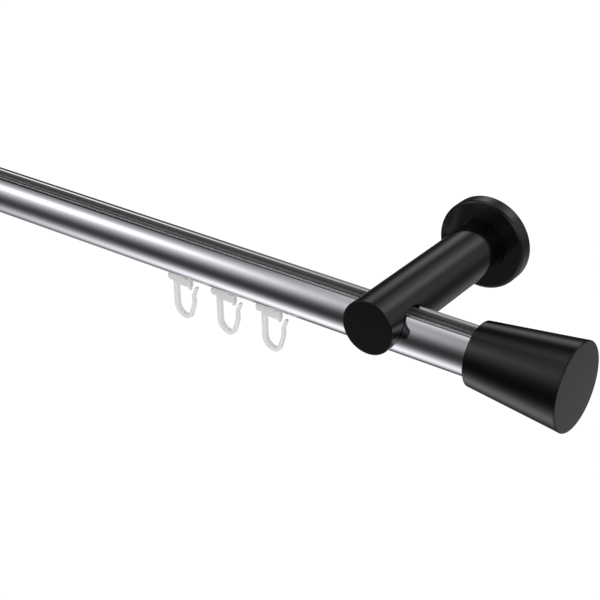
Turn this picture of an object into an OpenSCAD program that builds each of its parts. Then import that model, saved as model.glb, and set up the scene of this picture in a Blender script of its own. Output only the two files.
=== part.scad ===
// Curtain rod with an inner glider track, two wall brackets, finials and hooks.
// The origin is on the wall, in the centre between the brackets and level with
// their arms. X runs along the rod, Y points into the wall and Z points up.

/* [Rod] */
// Length of the rod's tube
rod_len = 1000; // [800:10:2000]
// Outer diameter of the tube
rod_d = 20; // [19:0.5:24]
// Wall of the tube
rod_wall = 1.3; // [1:0.1:1.6]
// Width of the open groove along the top
groove_w = 6.4; // [5:0.2:6.6]
// Rounding of the groove's edges
groove_edge = 1.1; // [0.4:0.1:1.4]
// Width of the slot along the bottom, in which the gliders hang
slot_w = 4; // [3.8:0.1:5]
// Rounding of the slot's edges
slot_edge = 0.6; // [0.3:0.1:1]
// Inner width of both channels
channel_w = 11.2; // [10:0.2:12]
// Inner height of both channels
channel_h = 4; // [3.8:0.1:4.4]
// Depth from the tube's lowest point to the lips that carry the gliders
lip_t = 3; // [2.6:0.1:3.2]

/* [Brackets] */
// Distance from the wall to the middle of the rod
wall_gap = 75; // [60:1:120]
// Distance from the tube's end to the middle of the bracket
bracket_inset = 60; // [50:1:150]
// Diameter of the arm
arm_d = 22.4; // [21:0.2:26]
// Metal above the rod, at the top of the arm
arm_cover = 6; // [4:0.5:9]
// Metal in front of the rod, at the arm's nose
arm_nose = 5.3; // [4:0.1:10]
// Rounding of the arm's front edge
arm_edge = 0.4; // [0.2:0.1:1]
// Slope of the screw that clamps the rod, below the horizontal
clamp_slope = 20; // [15:1:24]

/* [Wall fixing] */
// Diameter of the round cover on the wall
rosette_d = 39.4; // [38:0.2:60]
// Depth of the cover
rosette_t = 6.6; // [6.2:0.1:9]
// Rounding of the cover's front edge
rosette_edge = 1.3; // [0.2:0.1:1.4]
// Thickness of the cover's front
rosette_front = 1.3; // [1:0.1:1.4]
// Thickness of the cover's rim
rosette_rim = 1.5; // [1:0.1:2]
// Thickness of the mounting disc behind the cover
disc_t = 4.9; // [4:0.1:5]
// Diameter of the boss that the arm sits on
boss_d = 14; // [12:0.5:16]
// Length of the boss
boss_len = 12; // [10:0.5:20]
// Distance between the two holes for wall screws
hole_pitch = 25; // [24:0.5:26]
// Diameter of the holes for wall screws
hole_d = 4.4; // [3.5:0.1:4.8]
// Diameter of the countersinks for the screw heads
sink_d = 8; // [6:0.2:8.4]

/* [Finials] */
// Length of the finial
finial_len = 39.5; // [30:0.5:60]
// Diameter of the finial at the rod
finial_d1 = 25.8; // [25:0.1:30]
// Diameter of the finial's outer end
finial_d2 = 34.9; // [28:0.1:45]
// Length of the rod inside the finial
finial_grip = 20.8; // [15:0.1:25]
// Rounding of the finial's edges
finial_edge = 0.5; // [0.2:0.1:1]

/* [Gliders] */
// Distance from the right bracket to the last glider
glider_gap = 59.05; // [30:0.05:60]
// Spacing of the gliders that stand together
glider_pitch = 24.15; // [20:0.05:40]
// Distance from the left bracket to the first glider
spread_start = 44; // [20:1:60]
// Distance from the right bracket to the last of the spread gliders
spread_end = 260; // [200:1:300]
// Length of the head that runs in the channel
head_len = 12; // [9:0.5:14]
// Height of the head
head_h = 3.2; // [2.5:0.1:3.4]
// Width of the neck in the slot
neck_w = 3.2; // [3:0.1:3.4]
// Length of the neck
neck_len = 7; // [6:0.5:8.5]
// Distance from the tube's lowest point to the hook's bar
bar_drop = 1.5; // [0.6:0.1:2]

/* [Hooks] */
// Length of the bar at the top of the hook
bar_len = 12.4; // [11:0.1:14]
// Width of the bar
bar_w = 3; // [2.8:0.1:3.6]
// Height of the bar's thin end
bar_h = 3.2; // [2.9:0.1:3.6]
// Height of the bar's thick end
bar_block_h = 4.2; // [3.9:0.1:4.7]
// Height of the tab at the bar's end
bar_tab_h = 5.7; // [5.2:0.1:6]
// Distance from the bar's middle to the hook's stem
stem_x = 2.35; // [2:0.05:3]
// Length of the straight stem, from the top of the bar
stem_len = 14.2; // [12:0.1:20]
// Radius of the bend after the stem
bend_r = 5.2; // [4.5:0.1:6]
// Radius of the bend before the free leg
toe_r = 2.6; // [2:0.1:4]
// Length of the straight part of the free leg
leg_len = 5.6; // [4:0.1:9]
// Length of the tip that leads the curtain in
tip_len = 3.4; // [2:0.05:3.6]
// Thickness of the hook's stem
hook_t = 1.85; // [1.4:0.05:2]
// Width of the hook
hook_w = 2.55; // [2:0.05:2.8]

/* [Screws and stops] */
// Diameter of the grub screws
grub_d = 4; // [3:0.5:4]
// Width across flats of their hexagon socket
grub_hex = 2; // [1.5:0.1:2]
// Length of the end stops in the glider channel
stop_len = 8; // [6:0.5:10]
// Distance from the tube's end to the middle of the end stop
stop_inset = 35; // [28:1:40]
// Diameter of the end stop's screw
stop_screw_d = 3; // [2.5:0.1:3.5]

/* [Clearances] */
// Gap between the rod and the hole in the arm, and in the finial
rod_fit = 0.3; // [0.2:0.05:0.5]
// Gap between the cover and the arm that it slides on
slide_fit = 0.2; // [0.15:0.05:0.4]
// Gap round the mounting disc inside the cover
disc_fit = 0.4; // [0.3:0.1:0.8]
// Gap between the glider's head and the channel's sides
run_fit = 0.3; // [0.2:0.05:0.4]
// Gap round pieces that plug together and round the screws
plug_fit = 0.05; // [0.03:0.01:0.1]

/* [Hidden] */

$fn = 96;
// Cuts run past the faces that they open by this much
past = 1;
// The roundings of the channels' mouths run past the tube's surface by this much
edge_past = 0.02;
edge_steps = 6;
left = -1;
right = 1;

rod_r = rod_d / 2;
arm_r = arm_d / 2;
rod_hole_r = rod_r + rod_fit;
rod_y = -wall_gap;
// The rod hangs low in the arm, so that the gliders pass under the brackets
rod_z = arm_r - arm_cover - rod_hole_r;
arm_x = rod_len / 2 - bracket_inset;
arm_front = rod_y - rod_hole_r - arm_nose;
disc_r = rosette_d / 2 - rosette_rim - disc_fit;
// Middle of the boss, where the arm's screw presses
boss_y = -disc_t - boss_len / 2;

lip_z = rod_r - lip_t;
web_z = lip_z - channel_h;
channel_r = rod_r - rod_wall;

grub_r = grub_d / 2;
grub_hole_r = grub_r + plug_fit;
hex_depth = 2;
// Grub screws stay this far under the surface that they are sunk in
grub_sink = 0.2;
clamp_screw_len = 5;

finial_face = rod_len / 2 - finial_grip;
finial_screw_x = finial_face + finial_grip / 2;
finial_slope = (finial_d2 - finial_d1) / 2 / finial_len;
finial_screw_end = finial_d1 / 2 + finial_slope * (finial_grip / 2 - grub_r) - grub_sink;

stop_x = rod_len / 2 - stop_inset;
stop_h = channel_h - 2 * run_fit;
bar_top = rod_r + bar_drop;
// The runner's tongue plugs into the hook's bar, which is this thick beside it
tongue_side = 0.5;
tongue_w = bar_w - 2 * tongue_side;
tongue_len = 5;
tongue_h = 2;
// The tab under the bar's end, along the rod and across it
tab_w = 1.3;
tab_across = 1.8;

// Gliders are counted from the left: most are spread along the rod, and the
// last three stand together near the right bracket.
glider_count = 10;
bunch_count = 3;
spread_count = glider_count - bunch_count;
spread_pitch = (2 * arm_x - spread_start - spread_end) / (spread_count - 1);
function glider_x(n) = n <= spread_count
    ? -arm_x + spread_start + (n - 1) * spread_pitch
    : arm_x - glider_gap - (glider_count - n) * glider_pitch;

// The hook's middle line, as [length, turn in degrees] from the bar's top down
// the stem. A positive turn is towards the free leg.
leg_turn = 71;
waist_turn = 24;
waist_len = 1;
tip_turn = -30;
waist_r = 6;
tip_r = 4;
// The strip is even for this share of its line, then narrows to a share of its
// thickness at the tip
even_share = 0.45;
tip_share = 0.64;
// Bends are cut into steps of this many degrees
hook_step = 8;
hook_runs = [
    [stem_len, 0],
    [arc_len(bend_r, 90), 90],
    [arc_len(toe_r, leg_turn), leg_turn],
    [leg_len, 0],
    [arc_len(waist_r, waist_turn), waist_turn],
    [waist_len, 0],
    [arc_len(tip_r, tip_turn), tip_turn],
    [tip_len, 0]
];

function arc_len(r, turn) = r * abs(turn) * PI / 180;

// Steps that a run is cut into, one for a straight run
function steps(turn) = max(1, ceil(abs(turn) / hook_step));

// Points [x, z, heading, length] along the runs, from a start point and heading
function walk(runs, at, i = 0) = i >= len(runs) ? [at] :
    let (n = steps(runs[i][1]), part = run_points(runs[i], at, n))
    concat([for (k = [0 : n - 1]) part[k]], walk(runs, part[n], i + 1));

function run_points(run, at, n) = [for (k = [0 : n]) run_point(run, at, k / n)];

// A point part of the way along a run: on a bend, the chord has the mean heading
function run_point(run, at, share) =
    let (turn = run[1] * share, arc = run[0] * share,
         chord = turn == 0 ? arc : arc * sin(abs(turn) / 2) / (abs(turn) * PI / 360),
         aim = at[2] + turn / 2)
    [at[0] + chord * cos(aim), at[1] + chord * sin(aim), at[2] + turn, at[3] + arc];

// Half of the strip's thickness, at a share of its line's length
function half_t(share) =
    hook_t / 2 * (1 - (1 - tip_share) * max(0, share - even_share) / (1 - even_share));

// A point of the strip's outline: side is 1 or -1
function strip_point(p, side, whole) =
    let (reach = side * half_t(p[3] / whole))
    [p[0] - reach * sin(p[2]), p[1] + reach * cos(p[2])];

// Outline of the strip along walked points
function strip_outline(points) =
    let (last = len(points) - 1, whole = points[last][3])
    concat([for (p = points) strip_point(p, 1, whole)],
           [for (i = [last : -1 : 0]) strip_point(points[i], -1, whole)]);

// Points of a rounded corner, about a centre and between two angles
function corner(x, y, r, from, to, n = 4) =
    [for (k = [0 : n]) let (a = from + (to - from) * k / n) [x + r * cos(a), y + r * sin(a)]];

// Places a shape that is drawn round the Z axis along the rod's axis
module along_rod(x) {
    translate([x, rod_y, rod_z])
        rotate([0, 90, 0])
            children();
}

// Places a shape that is drawn round the Z axis on the arm's axis, going forward
module along_arm(side, y) {
    translate([side * arm_x, y, 0])
        rotate([90, 0, 0])
            children();
}

// Extrudes an outline drawn across the rod, in Y and Z, over a length in X
module across_rod(x, length) {
    translate([x - length / 2, rod_y, rod_z])
        rotate([90, 0, 90])
            linear_extrude(length)
                children();
}

// Headless screw along Z with a hexagon socket in its outer end
module grub_screw(d, length, hex) {
    difference() {
        cylinder(d = d, h = length);
        translate([0, 0, length - min(hex_depth, length / 2)])
            cylinder(d = hex / cos(30), h = length, $fn = 6);
    }
}

// One side of a channel's mouth, from the web out past the tube: the edge's
// rounding runs into the mouth's wall and into the tube's outer circle
function mouth_side(mouth_w, edge_r) =
    let (y = mouth_w / 2 + edge_r,
         z = sqrt((rod_r + edge_past - edge_r) ^ 2 - y ^ 2),
         out = atan2(z, y))
    concat([[mouth_w / 2, web_z]],
           corner(y, z, edge_r, 180, out, edge_steps),
           [[(rod_r + past) / tan(out), rod_r + past]]);

function flipped(points) = [for (i = [len(points) - 1 : -1 : 0]) [-points[i][0], points[i][1]]];

// Space inside one channel of the rod, open towards +Z
module channel_outline(mouth_w, edge_r) {
    side = mouth_side(mouth_w, edge_r);
    intersection() {
        circle(r = channel_r);
        translate([-channel_w / 2, web_z])
            square([channel_w, channel_h]);
    }
    polygon(concat(side, flipped(side)));
}

module rod() {
    color("gainsboro")
        across_rod(0, rod_len)
            difference() {
                circle(r = rod_r);
                channel_outline(groove_w, groove_edge);
                mirror([0, 1]) channel_outline(slot_w, slot_edge);
                intersection() {
                    circle(r = channel_r);
                    translate([-rod_r, rod_wall - web_z])
                        square([rod_d, 2 * (web_z - rod_wall)]);
                }
            }
}

// Axis of the screw that clamps the rod, from the rod's middle outwards
module along_clamp(side) {
    translate([side * arm_x, rod_y, rod_z])
        rotate([-90 - clamp_slope, 0, 0])
            children();
}

module arm(side) {
    color([0.1, 0.1, 0.1])
        difference() {
            along_arm(side, -disc_t)
                rotate_extrude()
                    polygon(concat(
                        [[0, 0], [arm_r, 0]],
                        corner(arm_r - arm_edge, -disc_t - arm_front - arm_edge, arm_edge, 0, 90),
                        [[0, -disc_t - arm_front]]));
            along_rod(side * arm_x - arm_d)
                cylinder(r = rod_hole_r, h = 2 * arm_d);
            along_arm(side, -disc_t + past)
                cylinder(d = boss_d + 2 * plug_fit, h = boss_len + past + plug_fit);
            translate([side * arm_x, boss_y, -arm_d])
                cylinder(r = grub_hole_r, h = arm_d);
            along_clamp(side)
                cylinder(r = grub_hole_r, h = wall_gap / 2);
        }
}

module wall_disc(side) {
    color("silver")
        difference() {
            union() {
                along_arm(side, 0) cylinder(r = disc_r, h = disc_t);
                along_arm(side, 0) cylinder(d = boss_d, h = disc_t + boss_len);
            }
            for (up = [-1, 1])
                translate([0, 0, up * hole_pitch / 2]) {
                    along_arm(side, past) cylinder(d = hole_d, h = disc_t + 2 * past);
                    along_arm(side, -disc_t + (sink_d - hole_d) / 2)
                        cylinder(d1 = hole_d, d2 = sink_d, h = (sink_d - hole_d) / 2);
                }
        }
}

module rosette(side) {
    color([0.1, 0.1, 0.1])
        along_arm(side, 0)
            difference() {
                rotate_extrude()
                    polygon(concat(
                        [[0, 0], [rosette_d / 2, 0]],
                        corner(rosette_d / 2 - rosette_edge, rosette_t - rosette_edge, rosette_edge, 0, 90,
                               edge_steps),
                        [[0, rosette_t]]));
                translate([0, 0, -past])
                    cylinder(r = rosette_d / 2 - rosette_rim, h = rosette_t - rosette_front + past);
                cylinder(r = arm_r + slide_fit, h = rosette_t + past);
            }
}

// Screw from below that holds the arm on its boss
module arm_screw(side) {
    color("silver")
        translate([side * arm_x, boss_y, -boss_d / 2 - plug_fit])
            rotate([180, 0, 0])
                grub_screw(grub_d, arm_r - boss_d / 2 - 2 * grub_sink, grub_hex);
}

// Screw through the arm, from behind and below, that clamps the rod
module rod_screw(side) {
    color("silver")
        along_clamp(side)
            translate([0, 0, rod_r + plug_fit])
                grub_screw(grub_d, clamp_screw_len, grub_hex);
}

module finial_right() {
    difference() {
        along_rod(finial_face)
            rotate_extrude()
                polygon(concat(
                    [[0, 0]],
                    corner(finial_d1 / 2 - finial_edge, finial_edge, finial_edge, -90, 0),
                    corner(finial_d2 / 2 - finial_edge, finial_len - finial_edge, finial_edge, 0, 90),
                    [[0, finial_len]]));
        along_rod(finial_face - past)
            cylinder(r = rod_hole_r, h = finial_grip + rod_fit + past);
        translate([finial_screw_x, rod_y, rod_z])
            rotate([-90, 0, 0])
                cylinder(r = grub_hole_r, h = finial_d2);
    }
}

module finial(side) {
    color([0.1, 0.1, 0.1])
        if (side == right)
            finial_right();
        else
            mirror([1, 0, 0]) finial_right();
}

// Screw at the back of the finial that holds it on the rod
module finial_screw(side) {
    color("silver")
        translate([side * finial_screw_x, rod_y + rod_r + plug_fit, rod_z])
            rotate([-90, 0, 0])
                grub_screw(grub_d, finial_screw_end - rod_r - plug_fit, grub_hex);
}

// Outline across the rod of a block that rests on the lips of the glider channel
module channel_block(height) {
    mirror([0, 1])
        intersection() {
            circle(r = channel_r - run_fit);
            translate([-channel_w / 2 + run_fit, lip_z - height])
                square([channel_w - 2 * run_fit, height]);
        }
}

module end_stop(side) {
    color("whitesmoke")
        difference() {
            across_rod(side * stop_x, stop_len)
                channel_block(stop_h);
            translate([side * stop_x, rod_y, rod_z - rod_r])
                cylinder(d = stop_screw_d + 2 * plug_fit, h = rod_r);
        }
}

module stop_screw(side) {
    color("silver")
        translate([side * stop_x, rod_y, rod_z - web_z - plug_fit])
            rotate([180, 0, 0])
                grub_screw(stop_screw_d, channel_h + lip_t / 2, stop_screw_d / 2);
}

// Glider: the head rests on the lips, and its neck goes down through the slot
module runner(n) {
    color("whitesmoke")
        translate([glider_x(n), 0, 0]) {
            across_rod(0, head_len)
                channel_block(head_h);
            across_rod(0, neck_len)
                translate([-neck_w / 2, -bar_top])
                    square([neck_w, bar_top - lip_z]);
            across_rod(0, tongue_len)
                translate([-tongue_w / 2, -bar_top - tongue_h])
                    square([tongue_w, tongue_h]);
        }
}

// Side view of the hook, in X from the glider's middle and Z from the rod's
module hook_outline() {
    stem = [-stem_x, -bar_top, -90, 0];
    points = walk(hook_runs, stem);
    tip = points[len(points) - 1];
    polygon(strip_outline(points));
    translate([tip[0], tip[1]])
        circle(r = half_t(1), $fn = 24);
}

module bar_outline() {
    end_r = bar_h / 2;
    translate([-bar_len / 2 + end_r, -bar_top - end_r])
        circle(r = end_r, $fn = 32);
    translate([-bar_len / 2 + end_r, -bar_top - bar_h])
        square([bar_len - end_r, bar_h]);
    translate([-stem_x, -bar_top - bar_block_h])
        square([bar_len / 2 + stem_x, bar_block_h]);
}

// Small rounded tab under the bar's thick end, which narrows the hook's mouth
module tab_outline() {
    translate([bar_len / 2 - tab_w, -bar_top - bar_tab_h + tab_w / 2])
        square([tab_w, bar_tab_h - tab_w / 2]);
    translate([bar_len / 2 - tab_w / 2, -bar_top - bar_tab_h + tab_w / 2])
        circle(d = tab_w, $fn = 32);
}

// Extrudes a side view evenly to both sides of the rod's middle plane
module side_extrude(x, width) {
    translate([x, rod_y + width / 2, rod_z])
        rotate([90, 0, 0])
            linear_extrude(width)
                children();
}

module hook(n) {
    color([0.9, 0.9, 0.9])
        difference() {
            union() {
                side_extrude(glider_x(n), bar_w) bar_outline();
                side_extrude(glider_x(n), tab_across) tab_outline();
                side_extrude(glider_x(n), hook_w) hook_outline();
            }
            across_rod(glider_x(n), tongue_len + 2 * plug_fit)
                translate([-tongue_w / 2 - plug_fit, -bar_top - tongue_h - plug_fit])
                    square([tongue_w + 2 * plug_fit, tongue_h + plug_fit + past]);
        }
}

rod();
arm(left);  // left_arm
wall_disc(left);  // left_wall_disc
rosette(left);  // left_rosette
arm_screw(left);  // left_arm_screw
rod_screw(left);  // left_rod_screw
arm(right);  // right_arm
wall_disc(right);  // right_wall_disc
rosette(right);  // right_rosette
arm_screw(right);  // right_arm_screw
rod_screw(right);  // right_rod_screw
finial(left);  // left_finial
finial_screw(left);  // left_finial_screw
finial(right);  // right_finial
finial_screw(right);  // right_finial_screw
end_stop(left);  // left_end_stop
stop_screw(left);  // left_stop_screw
end_stop(right);  // right_end_stop
stop_screw(right);  // right_stop_screw
runner(1);  // runner_01
runner(2);  // runner_02
runner(3);  // runner_03
runner(4);  // runner_04
runner(5);  // runner_05
runner(6);  // runner_06
runner(7);  // runner_07
runner(8);  // runner_08
runner(9);  // runner_09
runner(10);  // runner_10
hook(1);  // hook_01
hook(2);  // hook_02
hook(3);  // hook_03
hook(4);  // hook_04
hook(5);  // hook_05
hook(6);  // hook_06
hook(7);  // hook_07
hook(8);  // hook_08
hook(9);  // hook_09
hook(10);  // hook_10
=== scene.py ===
import math

import bmesh
import bpy
from mathutils import Matrix, Vector
from mathutils.geometry import tessellate_polygon


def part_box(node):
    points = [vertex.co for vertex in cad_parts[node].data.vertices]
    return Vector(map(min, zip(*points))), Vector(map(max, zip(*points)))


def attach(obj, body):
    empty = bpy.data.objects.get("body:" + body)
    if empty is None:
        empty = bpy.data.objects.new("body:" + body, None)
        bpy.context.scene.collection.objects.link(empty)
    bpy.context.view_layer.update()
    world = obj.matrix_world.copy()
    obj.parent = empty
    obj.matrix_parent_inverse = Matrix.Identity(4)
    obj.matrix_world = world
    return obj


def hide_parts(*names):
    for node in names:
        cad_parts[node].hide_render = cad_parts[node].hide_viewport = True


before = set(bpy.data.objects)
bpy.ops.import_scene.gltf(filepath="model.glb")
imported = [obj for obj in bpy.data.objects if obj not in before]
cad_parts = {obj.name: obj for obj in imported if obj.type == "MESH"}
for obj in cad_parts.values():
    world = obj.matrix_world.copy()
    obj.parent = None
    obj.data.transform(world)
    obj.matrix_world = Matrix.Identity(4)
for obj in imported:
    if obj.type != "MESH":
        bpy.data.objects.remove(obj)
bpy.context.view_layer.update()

# Camera. It looks down on the rod's right-hand end from the front right, through
# a long lens, and leans a little to one side as the photograph does.
CAMERA_PLACE = (0.6802, -0.4482, 0.2511)
HEADING, PITCH, ROLL = 37.192, 29.004, -1.067
SENSOR_WIDTH, LENS = 36, 80.07
camera_data = bpy.data.cameras.new("camera")
camera_data.sensor_width = SENSOR_WIDTH
camera_data.lens = LENS
camera = bpy.data.objects.new("camera", camera_data)
camera.matrix_world = (Matrix.Translation(CAMERA_PLACE)
                       @ Matrix.Rotation(math.radians(HEADING), 4, "Z")
                       @ Matrix.Rotation(math.radians(90 - PITCH), 4, "X")
                       @ Matrix.Rotation(math.radians(ROLL), 4, "Z"))
scene = bpy.context.scene
scene.collection.objects.link(camera)
scene.camera = camera
scene.view_settings.view_transform = "Standard"


def add_node(tree, kind, inputs=None, **options):
    """A new node with its options set, and each input given a value or linked."""
    node = tree.nodes.new(kind)
    for option, value in options.items():
        setattr(node, option, value)
    for socket, value in (inputs or {}).items():
        if isinstance(value, bpy.types.NodeSocket):
            tree.links.new(value, node.inputs[socket])
        else:
            node.inputs[socket].default_value = value
    return node


def math_node(tree, operation, first, second=0.0):
    """The result of one step of arithmetic on numbers or sockets."""
    return add_node(tree, "ShaderNodeMath", {0: first, 1: second}, operation=operation).outputs[0]


def background_rays(tree):
    """1 on rays that show the background, directly or in metal or glass."""
    path = add_node(tree, "ShaderNodeLightPath").outputs
    seen = math_node(tree, "MAXIMUM", path["Is Camera Ray"], path["Is Glossy Ray"])
    return math_node(tree, "MAXIMUM", seen, path["Is Transmission Ray"])


# Studio. White paper all round, a pale floor far below the rod, and a soft lamp
# at the front right. The world's even light reaches every side, and the floor glows
# just enough to look white.
WORLD_LEVEL = 0.9
WHITE = (1, 1, 1, 1)
world = bpy.data.worlds.new("studio")
world.use_nodes = True
tree = world.node_tree
tree.nodes.clear()
paper = add_node(tree, "ShaderNodeBackground", {"Color": WHITE, "Strength": 1.0})
fill = add_node(tree, "ShaderNodeBackground", {"Color": WHITE, "Strength": WORLD_LEVEL})
shown = add_node(tree, "ShaderNodeMixShader", {0: background_rays(tree), 1: fill.outputs[0],
                                               2: paper.outputs[0]})
add_node(tree, "ShaderNodeOutputWorld", {"Surface": shown.outputs[0]})
scene.world = world

FLOOR_DROP, FLOOR_REACH = 2.3, 12
FLOOR_COLOUR, FLOOR_GLOW = (0.85, 0.85, 0.85, 1), 0.26
floor_mesh = bpy.data.meshes.new("floor")
floor_mesh.from_pydata([(x * FLOOR_REACH, y * FLOOR_REACH, -FLOOR_DROP)
                        for x, y in ((-1, -1), (1, -1), (1, 1), (-1, 1))], [], [(0, 1, 2, 3)])
floor = bpy.data.objects.new("floor", floor_mesh)
scene.collection.objects.link(floor)
floor_paint = bpy.data.materials.new("floor_paper")
floor_paint.use_nodes = True
tree = floor_paint.node_tree
tree.nodes.clear()
matt = add_node(tree, "ShaderNodeBsdfDiffuse", {"Color": FLOOR_COLOUR})
glow = add_node(tree, "ShaderNodeEmission", {"Strength": math_node(
    tree, "MULTIPLY", background_rays(tree), FLOOR_GLOW)})
paper = add_node(tree, "ShaderNodeAddShader", {0: matt.outputs[0], 1: glow.outputs[0]})
clear = add_node(tree, "ShaderNodeBsdfTransparent")
below = add_node(tree, "ShaderNodeNewGeometry").outputs["Backfacing"]
two_sided = add_node(tree, "ShaderNodeMixShader", {0: below, 1: paper.outputs[0],
                                                   2: clear.outputs[0]})
add_node(tree, "ShaderNodeOutputMaterial", {"Surface": two_sided.outputs[0]})
floor_mesh.materials.append(floor_paint)

LAMP_PLACE = Vector((1.7, -0.75, 0.35))
LAMP_SIZE, LAMP_POWER = 1.4, 5
lamp_data = bpy.data.lights.new("soft_lamp", "AREA")
lamp_data.size = LAMP_SIZE
lamp_data.energy = LAMP_POWER
lamp = bpy.data.objects.new("soft_lamp", lamp_data)
lamp.matrix_world = (Matrix.Translation(LAMP_PLACE)
                     @ (-LAMP_PLACE).to_track_quat("-Z", "Y").to_matrix().to_4x4())
lamp.visible_glossy = False
scene.collection.objects.link(lamp)


def heading_vector(compass, height):
    """Direction for a compass angle from the wall towards +X, and a height angle."""
    compass, height = math.radians(compass), math.radians(height)
    return (math.sin(compass) * math.cos(height), math.cos(compass) * math.cos(height),
            math.sin(height))


# Light tent. A cloth ball round the rod, which only its polished surfaces see: dark
# between soft round panels, given by compass angle, height, spread and strength. A
# strength below 0 is a darker patch.
TENT_RADIUS = 2.2
TENT_PLACE = (0.38, -0.06, 0)
TENT_COLOUR, TENT_DARK = (0.975, 0.98, 1.02, 1), 0.033
PANELS = (
    (-125, 31, 6, 0.93),
    (-128, 30, 15, 0.95),
    (-98, 74, 14, 0.95),
    (-115, -56, 14, 1.31),
    (-135, -36, 9, 0.035),
    (-105, 54, 5, -0.20),
    (-62, 42, 6, -0.16),
    (-56, -49, 5, -0.12),
    (-52, -40, 7, 0.55),
    (-28, -39, 5, 1.27),
    (-37, -19, 5, 0.12),
    (-28, 27, 9, 0.86),
    (6, 44, 8, 0.55),
    (16, -41, 14, 0.36),
    (23, 36, 7, 1.14),
    (37, -29, 10, 0.08),
    (53, 20, 17, 0.67),
    (128, 30, 15, 1.20),
    (115, -56, 15, 1.00),
    (175, -50, 14, 0.50),
    (95, -20, 12, 0.35),
)
tent_data = bpy.data.meshes.new("light_tent")
ball = bmesh.new()
bmesh.ops.create_icosphere(ball, subdivisions=5, radius=TENT_RADIUS)
ball.to_mesh(tent_data)
ball.free()
tent = bpy.data.objects.new("light_tent", tent_data)
tent.location = TENT_PLACE
scene.collection.objects.link(tent)
for seen_by in ("camera", "diffuse", "transmission", "shadow", "volume_scatter"):
    setattr(tent, "visible_" + seen_by, False)
tent_cloth = bpy.data.materials.new("tent_cloth")
tent_cloth.use_nodes = True
tree = tent_cloth.node_tree
tree.nodes.clear()
spot = add_node(tree, "ShaderNodeTexCoord").outputs["Object"]
toward = add_node(tree, "ShaderNodeVectorMath", {0: spot}, operation="NORMALIZE").outputs[0]
level = TENT_DARK
for compass, height, spread, strength in PANELS:
    facing = add_node(tree, "ShaderNodeVectorMath",
                      {0: toward, 1: heading_vector(compass, height)}, operation="DOT_PRODUCT")
    away = math_node(tree, "SUBTRACT", facing.outputs["Value"], 1.0)
    narrow = math_node(tree, "MULTIPLY", away, 1 / math.radians(spread) ** 2)
    glow = math_node(tree, "MULTIPLY", math_node(tree, "EXPONENT", narrow), strength)
    level = math_node(tree, "ADD", glow, level)
level = math_node(tree, "MAXIMUM", level, 0.0)
cloth = add_node(tree, "ShaderNodeEmission", {"Color": TENT_COLOUR, "Strength": level})
add_node(tree, "ShaderNodeOutputMaterial", {"Surface": cloth.outputs[0]})
tent_cloth.cycles.emission_sampling = "NONE"
tent_data.materials.append(tent_cloth)

# Rod. A round tube pressed from aluminium in one pass, with an open groove along its
# top and the gliders' channel along its bottom, then polished and chrome plated.
MM = 0.001
GROOVE_W, GROOVE_EDGE = 6.4, 1.1
SLOT_W, SLOT_EDGE = 4.0, 0.6
CHANNEL_W, CHANNEL_H, LIP_T, ROD_WALL = 11.2, 4.0, 3.0, 1.3
WEB_ROUND, CORNER_ROUND, LIP_ROUND = 0.4, 0.6, 0.15
CORE_ROUND, CORE_BULGE = 0.5, 0.15
PLATED_DEPTH, BARE_DEPTH = 0.95, 1.4
SHARP_ANGLE = 32


def box_mm(node):
    """A CAD node's lowest and highest corners in millimetres."""
    low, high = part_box(node)
    return low / MM, high / MM


def middle_mm(node):
    """The middle of a CAD node's box in millimetres."""
    low, high = box_mm(node)
    return (low + high) / 2


rod_low, rod_high = box_mm("rod")
ROD_R = (rod_high.y - rod_low.y) / 2
ROD_Y = (rod_high.y + rod_low.y) / 2
ROD_Z = middle_mm("right_finial").z
LIP_Z = ROD_R - LIP_T
WEB_Z = LIP_Z - CHANNEL_H


def arc(centre, radius, start, end, steps):
    """Points on an arc, from one angle to another, in degrees."""
    angles = [math.radians(start + (end - start) * k / steps) for k in range(steps + 1)]
    return [(centre[0] + radius * math.cos(a), centre[1] + radius * math.sin(a)) for a in angles]


def rounded(corners, closed=False, steps=5):
    """Outline through corners (u, v, radius), with each corner rounded to its radius."""
    points = []
    count = len(corners)
    for i, (u, v, radius) in enumerate(corners):
        here = Vector((u, v))
        if radius == 0 or (not closed and i in (0, count - 1)):
            points.append((u, v))
            continue
        back = (Vector(corners[i - 1][:2]) - here).normalized()
        ahead = (Vector(corners[(i + 1) % count][:2]) - here).normalized()
        half = back.angle(ahead) / 2
        centre = here + (back + ahead).normalized() * radius / math.sin(half)
        first = here + back * radius / math.tan(half) - centre
        last = here + ahead * radius / math.tan(half) - centre
        for k in range(steps + 1):
            points.append(tuple(centre + radius * first.lerp(last, k / steps).normalized()
                                if k else centre + first))
    return points


def mirrored(points):
    """A half outline and its mirror image about u = 0, joined into a loop."""
    other = [(-u, v) for u, v in reversed(points) if abs(u) > 1e-9]
    return points + other


def mouth(width, edge):
    """Centre of a rounded mouth edge, and the angle at which it meets the tube."""
    u = width / 2 + edge
    v = math.sqrt((ROD_R - edge) ** 2 - u ** 2)
    return (u, v), math.degrees(math.atan2(v, u))


def along_x(u, v, w):
    """Point of an outline drawn across the rod, at a distance along it."""
    return Vector((w, ROD_Y + u, ROD_Z + v))


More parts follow.
